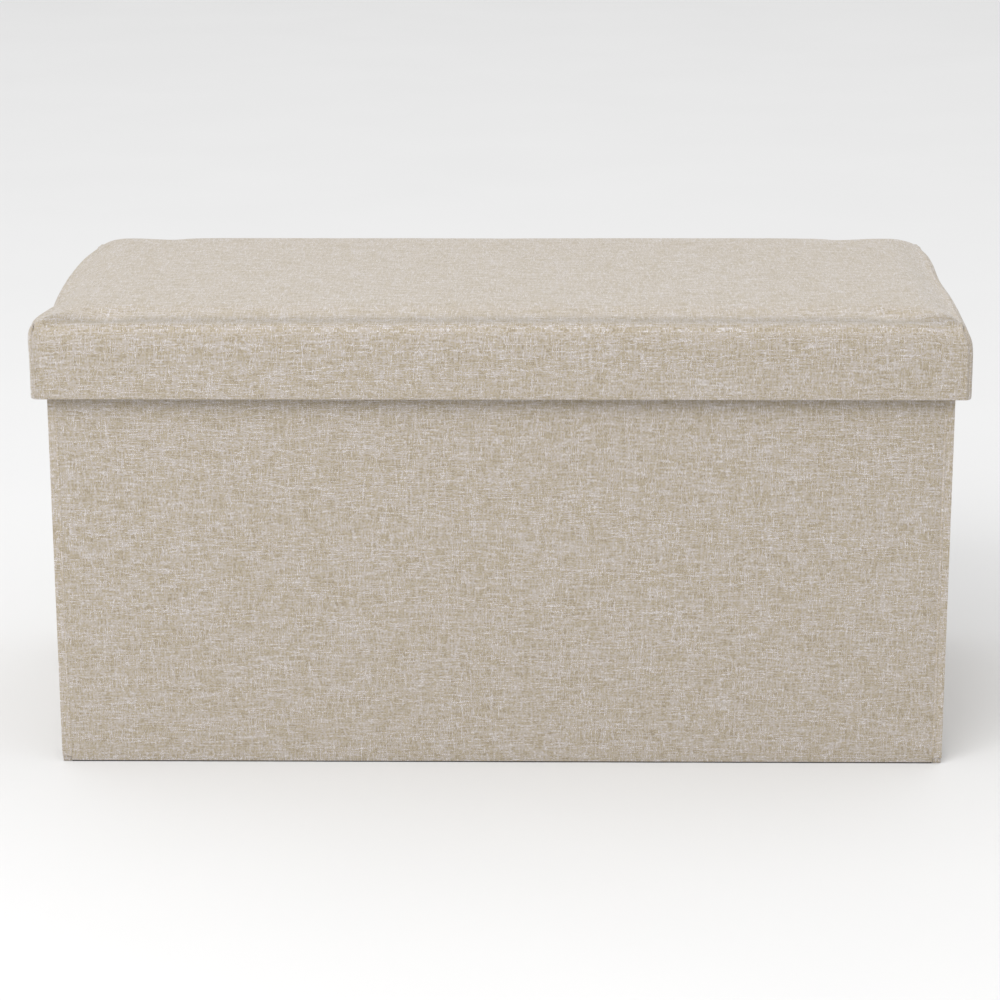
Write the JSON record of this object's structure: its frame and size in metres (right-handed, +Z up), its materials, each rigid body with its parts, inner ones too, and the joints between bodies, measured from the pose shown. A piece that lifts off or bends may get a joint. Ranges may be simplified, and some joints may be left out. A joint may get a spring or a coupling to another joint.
{
  "type": "storage bench",
  "caption": "Low upholstered storage bench: a fabric-wrapped box with creasing end walls that fold flat, closed by a padded lift-off lid.",
  "frame": {"origin": "on the floor under the middle of the bench", "axes": "+X to the right along the long front, +Y to the back, +Z up"},
  "size_m": [0.76, 0.38, 0.38],
  "materials": {
    "linen": "heathered plain-weave linen look, matte",
    "lining": "black embossed non-woven",
    "fibreboard": "raw medium-density fibreboard",
    "foam": "open-cell polyurethane foam",
    "staple_steel": "galvanised wire",
    "brad_steel": "bright wire nail",
    "thread": "twisted polyester thread"
  },
  "bodies": {
    "front_and_base": {"front_board": "fibreboard", "front_cover": "linen", "front_lining": "lining", "base_board": "fibreboard", "base_cover": "lining", "base_hinge_tape": "lining", "left_front_corner_tape": "linen", "right_front_corner_tape": "linen"},
    "left_front": {"left_front_board": "fibreboard", "left_front_cover": "linen", "left_front_lining": "lining", "left_middle_tape": "linen"},
    "left_rear": {"left_rear_board": "fibreboard", "left_rear_cover": "linen", "left_rear_lining": "lining"},
    "right_front": {"right_front_board": "fibreboard", "right_front_cover": "linen", "right_front_lining": "lining", "right_middle_tape": "linen"},
    "right_rear": {"right_rear_board": "fibreboard", "right_rear_cover": "linen", "right_rear_lining": "lining"},
    "back_wall": {"back_board": "fibreboard", "back_cover": "linen", "back_lining": "lining", "left_back_corner_tape": "linen", "right_back_corner_tape": "linen"},
    "lid": {"lid_board": "fibreboard", "lid_front_rail": "fibreboard", "lid_back_rail": "fibreboard", "lid_left_rail": "fibreboard", "lid_right_rail": "fibreboard", "seat_foam": "foam", "lid_cover": "linen", "lid_left_end_cover": "linen", "lid_right_end_cover": "linen", "lid_lining": "lining", "lid_staples": "staple_steel", "lid_brads": "brad_steel", "lid_stitching": "thread"}
  },
  "joints": [
    {"name": "left_front_fold", "type": "hinge", "parent": "front_and_base", "child": "left_front", "pos_m": [-0.361, -0.171, 0.175], "axis": [0, 0, -1], "range_deg": [0, 90]},
    {"name": "left_rear_fold", "type": "hinge", "parent": "left_front", "child": "left_rear", "pos_m": [-0.3686, 0, 0.175], "axis": [0, 0, 1], "range_deg": [0, 180]},
    {"name": "back_wall_fold", "type": "hinge", "parent": "left_rear", "child": "back_wall", "pos_m": [-0.361, 0.171, 0.175], "axis": [0, 0, -1], "range_deg": [0, 90]},
    {"name": "right_front_fold", "type": "hinge", "parent": "front_and_base", "child": "right_front", "pos_m": [0.361, -0.171, 0.175], "axis": [0, 0, 1], "range_deg": [0, 90]},
    {"name": "right_rear_fold", "type": "hinge", "parent": "right_front", "child": "right_rear", "pos_m": [0.3686, 0, 0.175], "axis": [0, 0, -1], "range_deg": [0, 180]},
    {"name": "lid_lift", "type": "slide", "parent": "front_and_base", "child": "lid", "axis": [0, 0, 1], "range_m": [0, 0.35]}
  ],
  "couplings": [
    {"joint": "left_rear_fold", "follows": "left_front_fold", "ratio": 2},
    {"joint": "back_wall_fold", "follows": "left_front_fold", "ratio": 1},
    {"joint": "right_front_fold", "follows": "left_front_fold", "ratio": 1},
    {"joint": "right_rear_fold", "follows": "left_front_fold", "ratio": 2}
  ]
}
